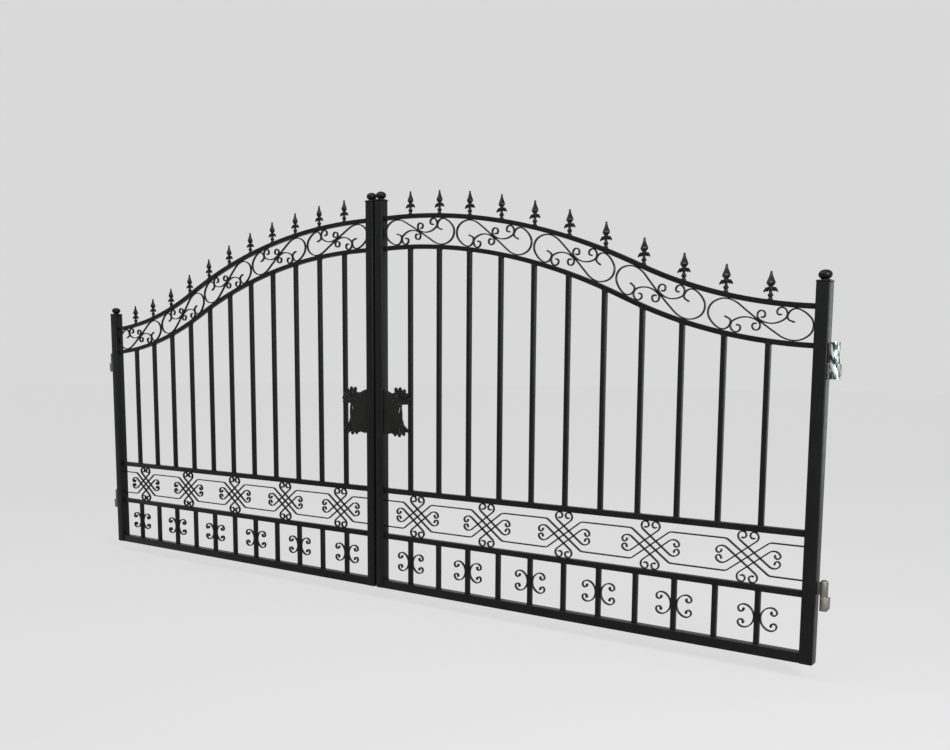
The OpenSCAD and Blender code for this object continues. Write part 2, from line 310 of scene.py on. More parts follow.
def weld_bead(metal, corners, across, size, seed):
    """A rippled fillet weld laid round a closed line of corner points; across is the joint's own axis."""
    line = []
    for a, b in zip(corners, corners[1:] + corners[:1]):
        steps = max(3, round((b - a).length / ripple_pitch))
        line += [a.lerp(b, i / steps) for i in range(steps)]
    rings = []
    centre = sum(corners, Vector()) / len(corners)
    for i, p in enumerate(line):
        out = (p - centre).normalized()
        out = (out - across * out.dot(across)).normalized()
        ripple = size * (1 + 0.13 * math.cos(i * 2.1) + 0.16 * noise.noise(p * 210 + Vector((seed, 0, 0))))
        turns = [k * math.tau / 6 for k in range(6)]
        rings.append([p + (out * math.cos(t) + across * math.sin(t)) * ripple for t in turns])
    skin(metal, rings, closed=True)


def picket_welds(sign):
    metal = bmesh.new()
    half = picket_half + 0.0002
    for i, x in enumerate(picket_places):
        soffit, slope = arch_height(x, -arch_half)
        for z, lean in ((mid_rail_top, 0), (soffit, slope), (bottom_rail_top, 0), (low_rail_under, 0)):
            ring = [leaf_point(sign, x + a * half, b * half, z + a * half * lean)
                    for a, b in ((-1, -1), (1, -1), (1, 1), (-1, 1))]
            axis = Vector((sign * -lean, 0, 1)).normalized()
            weld_bead(metal, ring, axis, picket_bead, i + z)
    return metal


weld_coat = powder_coat(
    "coated_weld", 420.0, 0.30, (0.0024, 0.0024, 0.0026), (0.0060, 0.0059, 0.0058), (0.28, 0.46)
)
for side, sign in sides.items():
    piece_from(f"{side}_picket_welds", picket_welds(sign), weld_coat, f"{side}_leaf")


# ---- The welds where rails and arches meet the stiles: one rippled fillet round each end, laid in place
# ---- after the leaf is squared up on the bench and coated with the rest.
rail_bead = 0.0020
weld_lift = 0.004


def rail_welds(sign):
    metal = bmesh.new()
    for z0, z1, deep in (
        (0.0, bottom_rail_top, 0.020),
        (low_rail_under, low_rail_top, 0.0125),
        (mid_rail_under, mid_rail_top, 0.0125),
    ):
        for x in (stile_inner, stile_outer):
            z_low = z0 + weld_lift if z0 == 0 else z0
            ring = [leaf_point(sign, x, -deep, z_low), leaf_point(sign, x, deep, z_low),
                    leaf_point(sign, x, deep, z1), leaf_point(sign, x, -deep, z1)]
            weld_bead(metal, ring, Vector((1, 0, 0)), rail_bead, z1 + x)
    for low, high in ((-arch_half, -arch_clear / 2), (arch_clear / 2, arch_half)):
        for x in (stile_inner, stile_outer):
            under, over = arch_height(x, low)[0], arch_height(x, high)[0]
            ring = [leaf_point(sign, x, -0.010, under), leaf_point(sign, x, 0.010, under),
                    leaf_point(sign, x, 0.010, over), leaf_point(sign, x, -0.010, over)]
            weld_bead(metal, ring, Vector((1, 0, 0)), rail_bead, under + x)
    return metal


for side, sign in sides.items():
    piece_from(f"{side}_rail_welds", rail_welds(sign), weld_coat, f"{side}_leaf")


# ---- The scrollwork between the arch rails: 12 by 5 mm flat bar bent the easy way round a former, one long
# ---- S and two C scrolls to a unit, five units to a leaf. Ends are hammered into small bulbs, and the bars
# ---- are tacked where they cross and where they touch the rails.
bar_half = 0.0025
bar_deep = 0.0060
bar_ease = 0.0009
hammered = 0.013
small_bulb = 1.25
weld_gap = 0.00015


def walked(start, heading, moves, turn=6.0):
    """A bar's middle line in millimetres: (0, length) is straight, (radius, angle) bends it, left if plus."""
    spot, aim = Vector(start), math.radians(heading)
    line = [spot.copy()]
    for radius, amount in moves:
        if radius == 0:
            steps = max(1, round(amount / 14))
            for _ in range(steps):
                spot = spot + amount / steps * Vector((math.cos(aim), math.sin(aim)))
                line.append(spot.copy())
            continue
        steps = max(2, math.ceil(abs(amount) / turn))
        each = math.radians(amount) / steps
        way = 1 if amount > 0 else -1
        for _ in range(steps):
            hub = spot + way * radius * Vector((-math.sin(aim), math.cos(aim)))
            aim += each
            spot = hub - way * radius * Vector((-math.sin(aim), math.cos(aim)))
            line.append(spot.copy())
    return line


def bent_bar(metal, line, sign, bulbs=(1.0, 1.0)):
    """Flat bar on edge along a line of (x, z), each end swelling into a rounded bulb where it is hammered."""
    half, depth, ease = bar_half, bar_deep, bar_ease
    corner = [(half - ease, depth), (half, depth - ease), (half, ease - depth), (half - ease, -depth),
              (ease - half, -depth), (-half, ease - depth), (-half, depth - ease), (ease - half, depth)]
    travel = [0.0]
    for a, b in zip(line, line[1:]):
        travel.append(travel[-1] + (b - a).length)
    rings = []

    def section(p, across, draw, deep):
        rings.append([leaf_point(sign, p.x + across.x * u * draw, v * deep, p.y + across.y * u * draw)
                      for u, v in corner])

    for i, p in enumerate(line):
        ahead = (line[min(i + 1, len(line) - 1)] - line[max(i - 1, 0)]).normalized()
        across = Vector((-ahead.y, ahead.x))
        near = (max(0.0, 1 - travel[i] / hammered), max(0.0, 1 - (travel[-1] - travel[i]) / hammered))
        draw = 1 + sum((full - 1) * share ** 0.7 for full, share in zip(bulbs, near))
        hand = 1 + 0.02 * noise.noise(Vector((p.x * 60, p.y * 60, 1.7)))
        if i == 0:
            for back, size in ((0.85, 0.35), (0.5, 0.78)):
                section(p - ahead * half * bulbs[0] * back, across, draw * size, 0.90)
        section(p, across, draw * hand, hand)
    for back, size in ((0.5, 0.78), (0.85, 0.35)):
        section(p + ahead * half * bulbs[1] * back, across, draw * size, 0.90)
    skin(metal, rings)


def tack(metal, sign, spot, size, seed):
    """A small lump of weld at a crossing, a little proud of the bars to front and back."""
    lump = bmesh.ops.create_icosphere(metal, subdivisions=2, radius=1.0)
    for v in lump["verts"]:
        swell = 1 + 0.18 * noise.noise(v.co * 2.3 + Vector((seed, seed * 0.7, 0)))
        spread = Vector((v.co.x * size, v.co.y * (bar_deep + 0.0004), v.co.z * size))
        v.co = leaf_point(sign, spot.x, 0, spot.y) + spread * swell


unit_count = 5
scroll_fit = (arch_clear / 2 - bar_half - weld_gap) / 0.05635
reach_fit = scroll_fit * 0.983
s_half = walked((0, 0), -27, [
    (0, 96.7), (114, 27), (76, 45), (44, 90), (107, 25), (54, 20), (29, 90), (15, 75), (0, 16)
])
s_line = [-p for p in reversed(s_half[1:])] + s_half
c_right = walked((-40, 5), 0, [(90, -25), (20, -65), (15, -180), (9, -110)])
c_left = walked((-40, 5), 180, [(85, 42), (20, 48), (24.6, 90), (16, 90), (11, 120)])
c_line = list(reversed(c_left)) + c_right[1:]
unit_step = run_3 / math.floor(run_3 / (0.416 * scroll_fit))


def on_arch(line, run, way):
    return [arch_point(run + way * reach_fit * p.x / 1000, way * scroll_fit * p.y / 1000) for p in line]


def nearest(line_a, line_b):
    """Where two bars come closest, for the weld between them."""
    return min(((p - q).length, (p + q) / 2) for p in line_a for q in line_b)[1]


def rail_tacks(metal, sign, line, place, half_band, seed):
    """Welds a shape to the rails above and below, at the highest and lowest points of its line."""
    for pick in (max, min):
        p = pick(line, key=lambda q: q.y)
        spot = place(p)
        if half_band - abs(spot[1]) < 0.0040:
            tack(metal, sign, spot[0], 0.0030, seed + p.y)


def arch_scrolls(sign):
    metal = bmesh.new()
    for i in range(unit_count):
        run = (i + 0.5) * unit_step
        long_s, c_one, c_two = on_arch(s_line, run, 1), on_arch(c_line, run, 1), on_arch(c_line, run, -1)
        for line in (long_s, c_one, c_two):
            bent_bar(metal, line, sign, (small_bulb, small_bulb))
        tack(metal, sign, arch_point(run, 0), 0.0048, i)
        reach = len(long_s) // 4
        for k, curl in enumerate((c_one, c_two)):
            tack(metal, sign, nearest(long_s[:reach] + long_s[-reach:], curl), 0.0038, i + k)
        for line, way in ((s_line, 1), (c_line, 1), (c_line, -1)):

            def place(p, way=way):
                rise = way * scroll_fit * p.y / 1000
                edge = math.copysign(arch_clear / 2, rise)
                return arch_point(run + way * reach_fit * p.x / 1000, edge), rise

            rail_tacks(metal, sign, line, place, arch_clear / 2, i)
    return metal


scroll_coat = powder_coat(
    "coated_scroll", 600.0, 0.16, (0.0022, 0.0022, 0.0024), (0.0050, 0.0049, 0.0050), (0.24, 0.42)
)
for side, sign in sides.items():
    bars = arch_scrolls(sign)
    piece_from(f"{side}_arch_scroll_bars", bars, scroll_coat, f"{side}_leaf",
               [f"{side}_arch_scrolls"])


# ---- The knot band between the mid and lower rails: crossed flat bars through a lozenge, with curls top,
# ---- bottom and to both sides, and link rods carrying on from each knot to the next and to the stiles.
band_half = (mid_rail_under - low_rail_top) / 2
band_mid = low_rail_top + band_half
knot_tilt = 37.6
lozenge = (48.0, 37.0)
link_bend = (84.0, 63.0)
top_curl = walked((0, lozenge[1]), knot_tilt, [
    (0, 39.4), (22, 90 - knot_tilt), (18, 90), (14, 90), (11, 120)
], 8)
side_curl = walked((lozenge[0], 0), knot_tilt, [
    (0, 43), (32, -knot_tilt), (26, -50), (13, -40), (10.5, -190)
], 8)
knot_fit = (band_half - bar_half - weld_gap) / 0.09647
knot_pitch = 0.402 * knot_fit
knot_count = 5
first_knot = stile_inner + (stile_outer - stile_inner - knot_pitch * (knot_count - 1)) / 2 - 0.008


def bend_corners(points, radius):
    """A line of straights with each corner bent round."""
    line = [points[0]]
    for a, b, c in zip(points, points[1:], points[2:]):
        into, out = (a - b).normalized(), (c - b).normalized()
        start, end = b + into * radius, b + out * radius
        line += [start.lerp(b, t).lerp(b.lerp(end, t), t) for t in (0, 0.25, 0.5, 0.75, 1)]
    return line + [points[-1]]


def knot_band(sign):
    metal = bmesh.new()

    def placed(line, x, a, b):
        return [Vector((x + a * knot_fit * p.x / 1000, band_mid + b * knot_fit * p.y / 1000)) for p in line]

    for i in range(knot_count):
        x = first_knot + i * knot_pitch
        for a in (-1, 1):
            for b in (-1, 1):
                bent_bar(metal, placed(top_curl, x, a, b), sign, (1.0, small_bulb))
                bent_bar(metal, placed(side_curl, x, a, b), sign, (1.0, small_bulb))
                bent_bar(metal, placed([Vector((-lozenge[0], 0)), Vector((0, lozenge[1]))], x, a, b), sign)
        wide, tall = lozenge
        for k, spot in enumerate(((0, 0), (wide, 0), (-wide, 0), (0, tall), (0, -tall))):
            tack(metal, sign, placed([Vector(spot)], x, 1, 1)[0], 0.0040, i * 5 + k)
        crest = max(top_curl, key=lambda p: p.y)
        for a in (-1, 1):
            for b in (-1, 1):
                spot = placed([crest], x, a, b)[0]
                tack(metal, sign, Vector((spot.x, band_mid + b * band_half)), 0.0028, i + a + b / 2)
    bend_x, bend_z = knot_fit * link_bend[0] / 1000, knot_fit * link_bend[1] / 1000
    for b in (-1, 1):
        for i in range(-1, knot_count):
            x0, x1 = first_knot + i * knot_pitch, first_knot + (i + 1) * knot_pitch
            flat = band_mid + b * bend_z
            start = [Vector((stile_inner + weld_gap, flat))] if i < 0 else [
                Vector((x0, band_mid)), Vector((x0 + bend_x, flat))]
            end = [Vector((stile_outer - weld_gap, flat))] if i == knot_count - 1 else [
                Vector((x1 - bend_x, flat)), Vector((x1, band_mid))]
            bent_bar(metal, bend_corners(start + end, 0.009), sign)
        for x in (stile_inner, stile_outer):
            tack(metal, sign, Vector((x, band_mid + b * bend_z)), 0.0036, x + b)
    return metal


for side, sign in sides.items():
    piece_from(f"{side}_knot_bars", knot_band(sign), scroll_coat, f"{side}_leaf",
               [f"{side}_knots"])


# ---- The C scrolls on every other short picket: one bar to each side with both ends curled inwards,
# ---- its back held to the picket by a tack weld above and below its middle.
bulb = 1.75
half_c = walked((0, 0), 90, [(46, -62), (34, -32), (24, -46), (14, -50), (11, -130), (8, -60)])
pair_c = [Vector((p.x, -p.y)) for p in reversed(half_c[1:])] + half_c


def c_scrolls(sign):
    metal = bmesh.new()
    centre = (bottom_rail_top + low_rail_under) / 2
    for i, x in enumerate(picket_places[::2]):
        for way in (-1, 1):
            back = picket_half + bar_half + weld_gap
            line = [Vector((x + way * (back + p.x / 1000), centre + p.y / 1000)) for p in pair_c]
            bent_bar(metal, line, sign, (bulb, bulb))
            for up in (-1, 1):
                tack(metal, sign, Vector((x + way * picket_half, centre + up * 0.006)), 0.0030, i + way + up)
    return metal


for side, sign in sides.items():
    piece_from(f"{side}_c_scroll_bars", c_scrolls(sign), scroll_coat, f"{side}_leaf",
               [f"{side}_c_scrolls"])


# ---- The spears over the pickets: cast iron finials about 100 mm tall, each a turned foot and neck, two
# ---- drooping leaves, a four sided head with hollow flanks and a small ball. They are welded to the arch.
ridge_power = 1.12
knob_wide = 0.0047
knob_tall = 0.0045
knob_height = 0.0982
seat_radius = 0.0092
seat_bead = 0.0016


def turned(metal, profile, at, steps=32):
    """A closed round form from (radius, height) pairs, standing at a point."""
    turns = [k * math.tau / steps for k in range(steps)]
    rings = [[at + Vector((r * math.cos(t), r * math.sin(t), z)) for t in turns] for r, z in profile]
    skin(metal, rings)


def diamond(metal, profile, at, steps=24):
    """The spear's head: four ridges to front, back and sides, slightly rounded, with flats between."""
    rings = []
    for width, z in profile:
        ring = []
        for k in range(steps):
            a = k * math.tau / steps
            spread = abs(math.cos(a)) ** ridge_power + abs(math.sin(a)) ** ridge_power
            r = width / spread ** (1 / ridge_power)
            ring.append(at + Vector((r * math.cos(a), r * math.sin(a), z)))
        rings.append(ring)
    skin(metal, rings)


def leaf_blade(metal, points, widths, depths, way):
    """One drooping leaf: an oval bar that swells and comes to a point."""
    rings = []
    for i, p in enumerate(points):
        ahead = (points[min(i + 1, len(points) - 1)] - points[max(i - 1, 0)]).normalized()
        across = Vector((-ahead.y, ahead.x))
        rings.append([Vector((way * (p.x + across.x * widths[i] * math.cos(t)), depths[i] * math.sin(t),
                              p.y + across.y * widths[i] * math.cos(t))) for t in
                      (k * math.tau / 14 for k in range(14))])
    skin(metal, rings)


def melted(metal, voxel, smoothing, keep, name):
    """Several closed forms run together into one casting, as they are in the mould."""
    bmesh.ops.recalc_face_normals(metal, faces=metal.faces)
    mesh = bpy.data.meshes.new(name)
    metal.to_mesh(mesh)
    metal.free()
    pattern = bpy.data.objects.new(name, mesh)
    bpy.context.scene.collection.objects.link(pattern)
    join = pattern.modifiers.new("join", "REMESH")
    join.mode, join.voxel_size, join.adaptivity = "VOXEL", voxel, 0.0
    ease = pattern.modifiers.new("ease", "SMOOTH")
    ease.factor, ease.iterations = 0.5, smoothing
    thin = pattern.modifiers.new("thin", "DECIMATE")
    thin.ratio = keep
    done = bpy.data.meshes.new_from_object(pattern.evaluated_get(bpy.context.evaluated_depsgraph_get()))
    bpy.data.objects.remove(pattern)
    casting = bmesh.new()
    casting.from_mesh(done)
    bpy.data.meshes.remove(done)
    return casting


spear = bmesh.new()
turned(spear, [(r / 1000, z / 1000) for r, z in (
    (8.6, -1.2), (9.0, 0.0), (8.6, 3.0), (7.0, 5.4), (6.4, 8.0), (8.0, 10.6), (10.2, 13.2), (10.6, 15.6),
    (9.8, 18.4), (7.2, 21.4), (6.0, 24.4), (5.8, 28.0), (6.6, 32.0), (7.6, 37.0), (7.4, 42.0),
    (5.4, 48.0))], Vector())
for way in (-1, 1):
    for points, widths, depths in (
        (((1, 40), (7, 41), (13, 39.4), (18.5, 36), (23, 31.6), (26, 26.6)),
         (5.6, 5.6, 5.6, 5.4, 4.4, 2.2),
         (5.8, 5.4, 5.0, 4.6, 4.0, 2.2)),
        (((10, 39), (16, 41), (20.6, 42.6)), (4.4, 3.8, 2.0), (4.4, 3.8, 2.0)),
        (((1, 37), (6, 36.8), (10, 34.6), (13, 31.6), (14.8, 28)), (4.6, 4.4, 3.8, 3.0, 1.6),
         (4.8, 4.4, 3.8, 3.0, 1.8)),
    ):
        vein = [Vector(p) / 1000 for p in points]
        leaf_blade(spear, vein, [w / 1000 for w in widths], [d / 1000 for d in depths], way)
diamond(spear, [(w / 1000, z / 1000) for w, z in (
    (6.2, 42), (8.0, 47), (12.6, 52), (16.8, 57), (17.6, 60.5), (16.0, 66), (12.6, 73), (9.4, 80), (7.0, 87),
    (5.4, 93), (4.6, 98))], Vector())
turned(spear, [(r * knob_wide, knob_height + z * knob_tall) for r, z in (
    (0.3, -0.95), (0.71, -0.71), (0.95, -0.3), (1.0, 0.0), (0.95, 0.3), (0.71, 0.71),
    (0.3, 0.95))], Vector(), 16)
spear = melted(spear, 0.0008, 2, 0.17, "spear_pattern")
spear_mesh = bpy.data.meshes.new("spear_casting")
spear.to_mesh(spear_mesh)
spear.free()


def spear_row(sign):
    metal = bmesh.new()
    for x in picket_places:
        before = len(metal.verts)
        metal.from_mesh(spear_mesh)
        metal.verts.ensure_lookup_table()
        seat, slope = arch_height(x, arch_half)
        for v in metal.verts[before:]:
            v.co = v.co + leaf_point(sign, x, 0, seat + weld_gap)
        ring = []
        for k in range(14):
            t = k * math.tau / 14
            rise = seat + 0.0004 + seat_radius * math.cos(t) * slope
            ring.append(leaf_point(sign, x + seat_radius * math.cos(t), seat_radius * math.sin(t), rise))
        weld_bead(metal, ring, Vector((0, 0, 1)), seat_bead, x)
    return metal


for side, sign in sides.items():
    piece_from(f"{side}_spear_castings", spear_row(sign), scroll_coat, f"{side}_leaf",
               [f"{side}_spears"], crease=60)


# ---- The stile caps: a pressed square plate with a spun ball on a short neck, driven into the top of each
# ---- stile and tacked. Caps on the meeting stiles are a little smaller in the plate.
plate_corner = 0.0035
ball_wide = 0.0245
ball_tall = 0.0180
neck_height = 0.0078


def ball_cap(sign, node):
    low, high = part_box(node)
    plate_half, deep = (high.x - low.x) / 2, (high.y - low.y) / 2
    centre = Vector(((high.x + low.x) / 2, 0, low.z))
    metal = bmesh.new()
    rings = []
    for spread, z in ((-0.0006, 0.0), (0.0, 0.0008), (0.0, 0.0050), (-0.0010, 0.0066), (-0.0034, 0.0078),
                      (-0.0110, 0.0088)):
        ring = []
        for cx, cy, turn in ((1, 1, 0), (-1, 1, 1), (-1, -1, 2), (1, -1, 3)):
            r = plate_corner
            for k in range(5):
                a = (turn + k / 4) * math.pi / 2
                ring.append(centre + Vector((cx * (plate_half + spread - r) + r * math.cos(a),
                                             cy * (deep + spread - r) + r * math.sin(a), z)))
        rings.append(ring)
    skin(metal, rings)
    ball = high.z - low.z - 0.008
    profile = [(0.0168, neck_height), (0.0158, 0.0094), (0.0136, 0.0102), (0.0130, 0.0114)]
    for k in range(-11, 17):
        a = math.radians(k * 5.4)
        height = neck_height + ball - ball_tall + ball_tall * math.sin(a)
        profile.append((max(0.0006, ball_wide * math.cos(a)), height))
    turned(metal, profile, centre, 64)
    return metal


for side, sign in sides.items():
    for cap in ("hinge_cap", "meeting_cap"):
        node = f"{side}_{cap}"
        metal = ball_cap(sign, node)
        piece_from(f"{node}_ball", metal, tube_coat, f"{side}_leaf", [node], 40)


# ---- The lock plates: one iron casting to each leaf, 8 mm thick, welded to the meeting stile and lying
# ---- over the first picket. A plain body, a rolled rim and two ribbed shells with a knob on each rib.
plate_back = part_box("right_lock_plate")[1].y
plate_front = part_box("right_lock_plate")[0].y
lock_height = 0.873
web_rise = 0.0026
rib_rise = 0.0006
knob_deep = 0.0046
body_outline = [
    (0, -112), (0, 101), (9, 100), (20, 97), (33, 92), (46, 86), (59, 84), (68, 87), (76, 90), (88, 76),
    (96, 60), (106, 40), (113, 20), (117, 0), (118, -20), (116, -40), (112, -60), (104, -76), (96, -90),
    (84, -104), (72, -112), (59, -113), (50, -109), (43, -109), (30, -113), (14, -114),
]
slits = [(99, 4, -12, 4.5, 42), (93, 36, -32, 4, 14)]
upper_ribs = [(79, 101, 11), (105, 102, 11.5), (131, 94, 11), (149, 76, 10.5), (158, 56, 9.5), (156, 38, 8.5)]
lower_ribs = [(73, -113, 10), (100, -115, 11), (127, -108, 10.5), (149, -92, 9.5)]
upper_web = [
    (84, 44), (74, 92), (79, 101), (105, 102), (131, 94), (149, 76), (158, 56), (156, 38), (150, 31),
    (116, 30), (112, 6), (96, 30),
]
lower_web = [
    (100, -40), (90, -56), (73, -106), (73, -113), (100, -115), (127, -108), (149, -92), (150, -84),
    (128, -66), (116, -32),
]


def flat_plate(metal, outlines, front, back, ease):
    """A flat casting from outlines in millimetres, any outline inside another being a hole."""
    curve = bpy.data.curves.new("outline", "CURVE")
    curve.dimensions, curve.fill_mode = "2D", "BOTH"
    curve.extrude = abs(front - back) / 2 - ease
    curve.bevel_depth, curve.bevel_resolution, curve.offset = ease, 1, -ease
    for outline in outlines:
        spline = curve.splines.new("POLY")
        spline.points.add(len(outline) - 1)
        for point, (x, z) in zip(spline.points, outline):
            point.co = (x / 1000, z / 1000, 0, 1)
        spline.use_cyclic_u = True
    shape = bpy.data.objects.new("outline", curve)
    mesh = bpy.data.meshes.new_from_object(shape)
    mesh.transform(Matrix.Translation((0, (front + back) / 2, 0)) @ Matrix.Rotation(math.radians(90), 4, "X"))
    metal.from_mesh(mesh)
    bpy.data.meshes.remove(mesh)
    bpy.data.objects.remove(shape)
    bpy.data.curves.remove(curve)


def smooth_line(points, steps=6):
    """A rounded line through a few points."""
    guide = [Vector(p) for p in points]
    guide = [2 * guide[0] - guide[1]] + guide + [2 * guide[-1] - guide[-2]]
    line = []
    for a, b, c, d in zip(guide, guide[1:], guide[2:], guide[3:]):
        for k in range(steps):
            t = k / steps
            line.append(0.5 * (2 * b + (c - a) * t + (2 * a - 5 * b + 4 * c - d) * t * t
                               + (3 * b - a - 3 * c + d) * t ** 3))
    return line + [guide[-2]]


def raised_rib(metal, points, start, end, y, deep, deep_end=None):
    """A half round rib standing proud of the plate, start and end being its half widths in millimetres."""
    line = smooth_line(points)
    rings = []
    for i, p in enumerate(line):
        share = i / (len(line) - 1)
        ahead = (line[min(i + 1, len(line) - 1)] - line[max(i - 1, 0)]).normalized()
        across = Vector((-ahead.y, ahead.x))
        half = start + (end - start) * share
        rise = half * (deep + ((deep if deep_end is None else deep_end) - deep) * share)
        rings.append([Vector(((p.x + across.x * half * math.cos(t)) / 1000, y + rise * math.sin(t) / 1000,
                              (p.y + across.y * half * math.cos(t)) / 1000)) for t in
                      (k * math.tau / 16 for k in range(16))])
    skin(metal, rings)


def lock_casting():
    metal = bmesh.new()
    base = plate_front + 0.0030
    holes = []
    for x, z, tilt, wide, tall in slits:
        c, s = math.cos(math.radians(tilt)), math.sin(math.radians(tilt))
        turns = [k * math.tau / 16 for k in range(16)]
        corners = [(wide / 2 * math.cos(t), tall / 2 * math.sin(t)) for t in turns]
        holes.append([(x + a * c - b * s, z + a * s + b * c) for a, b in corners])
    flat_plate(metal, [body_outline] + holes, base, plate_back, 0.0008)
    flat_plate(metal, [upper_web], base + web_rise, plate_back, 0.0006)
    flat_plate(metal, [lower_web], base + web_rise, plate_back, 0.0006)
    proud = base + rib_rise
    for ribs, hub, sway in ((upper_ribs, (90, 42), 7), (lower_ribs, (100, -54), -5)):
        for k, (x, z, knob) in enumerate(ribs):
            reach = Vector((x - hub[0], z - hub[1]))
            bow = Vector((-reach.y, reach.x)).normalized() * sway * (0.5 - k / len(ribs))
            start = Vector(hub) + reach * 0.22
            line = [start, Vector(hub) + reach * 0.6 + bow, (x, z)]
            raised_rib(metal, line, 2.6, knob - 1.2, proud, 1.1, 0.46)
            top = bmesh.ops.create_icosphere(metal, subdivisions=3, radius=1.0)
            for v in top["verts"]:
                deep = (plate_back + plate_front) / 2 + v.co.y * knob_deep
                v.co = Vector((x / 1000 + v.co.x * knob / 1000, deep, z / 1000 + v.co.z * knob / 1000))
    # the rolled rim on the outer side, the inner ridge beside the slits, and the scroll on the body
    for points, start, end, deep in (
        ([(90, 64), (102, 42), (109, 20), (112, -6), (110, -34), (103, -58), (92, -84)], 3.8, 4.8, 0.90),
        ([(76, 62), (86, 42), (92, 18), (93, -10), (92, -34), (96, -56), (106, -76)], 2.6, 3.4, 0.9),
        ([(4, 92), (20, 86), (38, 77), (58, 76), (74, 80), (84, 70), (82, 54), (68, 46), (55, 52), (53, 64),
          (62, 69), (68, 62)], 2.2, 3.2, 1.1),
        ([(70, 38), (56, 36), (44, 44), (40, 58)], 2.8, 1.4, 1.0),
        ([(80, 34), (68, 24), (52, 22), (40, 30)], 2.8, 1.4, 1.0),
        ([(92, -58), (80, -74), (64, -88), (58, -104)], 3.0, 3.4, 0.9),
        ([(90, -52), (74, -62), (54, -78), (42, -102)], 2.4, 2.4, 0.9),
        ([(3, -106), (16, -107), (30, -106), (44, -102)], 1.8, 2.0, 0.7),
    ):
        raised_rib(metal, points, start, end, proud, deep)
    return melted(metal, 0.00105, 2, 0.34, "lock_pattern")


cast_coat = powder_coat(
    "coated_casting", 340.0, 0.22, (0.0028, 0.0027, 0.0025), (0.0105, 0.0099, 0.0088), (0.24, 0.40)
)
plate_pattern = lock_casting()
plate_mesh = bpy.data.meshes.new("lock_plate_pattern")
plate_pattern.to_mesh(plate_mesh)
plate_pattern.free()
for side, sign in sides.items():
    metal = bmesh.new()
    metal.from_mesh(plate_mesh)
    for v in metal.verts:
        v.co = leaf_point(sign, stile_inner + v.co.x, v.co.y, lock_height + v.co.z)
    piece_from(f"{side}_lock_casting", metal, cast_coat, f"{side}_leaf",
               [f"{side}_lock_plate"], crease=70)


# ---- The barrel hinges: galvanised steel, the upper half of each welded to the leaf by a short tab and
# ---- the lower half, with its pin and a pad for the post, standing still. The pin carries the leaf.
def galvanised(name, light, rough):
    zinc = bpy.data.materials.new(name)
    zinc.use_nodes = True
    nodes, links = zinc.node_tree.nodes, zinc.node_tree.links
    shader = nodes["Principled BSDF"]
    shader.inputs["Metallic"].default_value = 0.85
    place = add_node(nodes, "TexCoord")
    spangle = add_node(nodes, "TexVoronoi", {"Scale": 260.0})
    stain = add_node(nodes, "TexNoise", {"Scale": 55.0, "Detail": 7.0, "Roughness": 0.7})
    dark, dull, pale_edge, bright = (tuple(part * c for c in light) for part in (0.32, 0.7, 0.55, 1.25))
    shade = ramp(nodes, [(0.25, dark), (0.5, dull), (0.8, light)])
    grain = ramp(nodes, [(0.0, pale_edge), (0.6, bright)])
    mix = add_node(nodes, "Mix", {0: 0.35}, data_type="RGBA")
    gloss = add_node(
        nodes, "MapRange", {"From Min": 0.3, "From Max": 0.75, "To Min": rough[0], "To Max": rough[1]}
    )
    pits = add_node(nodes, "TexNoise", {"Scale": 700.0, "Detail": 4.0})
    bump = add_node(nodes, "Bump", {"Strength": 0.35, "Distance": 0.0005})
    for source, target in (
        (place.outputs["Object"], spangle.inputs["Vector"]),
        (place.outputs["Object"], stain.inputs["Vector"]),
        (place.outputs["Object"], pits.inputs["Vector"]),
        (stain.outputs["Fac"], shade.inputs["Fac"]),
        (shade.outputs["Color"], mix.inputs[6]),
        (spangle.outputs["Distance"], grain.inputs["Fac"]),
        (grain.outputs["Color"], mix.inputs[7]),
        (mix.outputs[2], shader.inputs["Base Color"]),
        (stain.outputs["Fac"], gloss.inputs["Value"]),
        (gloss.outputs["Result"], shader.inputs["Roughness"]),
        (pits.outputs["Fac"], bump.inputs["Height"]),
        (bump.outputs["Normal"], shader.inputs["Normal"]),
    ):
        links.new(source, target)
    return zinc


barrel_edge = 0.0011
pin_edge = 0.0013
dull_zinc = galvanised("galvanised_barrel", (0.17, 0.165, 0.155), (0.40, 0.62))
for side in sides:
    node = f"{side}_hinge_barrels"
    barrels = rolled(node, barrel_edge, 2)
    piece_from(f"{side}_barrel_turnings", barrels, dull_zinc, f"{side}_leaf", [node])
    for level in ("lower", "upper"):
        node = f"{side}_{level}_pin"
        pin = rolled(node, pin_edge, 2)
        piece_from(f"{node}_turning", pin, dull_zinc, "hinge_roots", [node])


# ---- The film on the upper right hinge: bright packing film wound round the barrel and pressed down into
# ---- creases, in two lengths so that the hinge can still turn, one on the leaf and one on the fixed half.
# the film's colour carries painted light: painted shade for its creases and painted highlights for bright
# streaks of reflection
film = bpy.data.materials.new("film_with_painted_light")
film.use_nodes = True
film_shader = film.node_tree.nodes["Principled BSDF"]
film_shader.inputs["Metallic"].default_value = 0.55
film_nodes = film.node_tree.nodes
# the ramp mixes the film's own grey-green tone with painted light: the dark end paints shade in the creases,
# the pale end paints bright streaks of reflection
film_tone_and_painted_light = ramp(film_nodes, [
    (0.22, (0.015, 0.022, 0.021)), (0.50, (0.12, 0.155, 0.15)), (0.85, (0.40, 0.48, 0.46))
])
# distorted diagonal bands that place the painted crease shade and painted streaks; the same bands also set
# the roughness
film_painted_light_bands = add_node(film_nodes, "TexWave", {
    "Scale": 13.0, "Distortion": 8.0, "Detail": 3.0, "Detail Scale": 1.6, "Detail Roughness": 0.6
})
film_painted_light_bands.bands_direction = "DIAGONAL"
film_place = add_node(film_nodes, "TexCoord")
film_pull = add_node(film_nodes, "Mapping", {"Scale": (2.2, 2.2, 0.6), "Rotation": (0.0, 0.35, 0.0)})
film_gloss = add_node(film_nodes, "MapRange", {"To Min": 0.42, "To Max": 0.26})
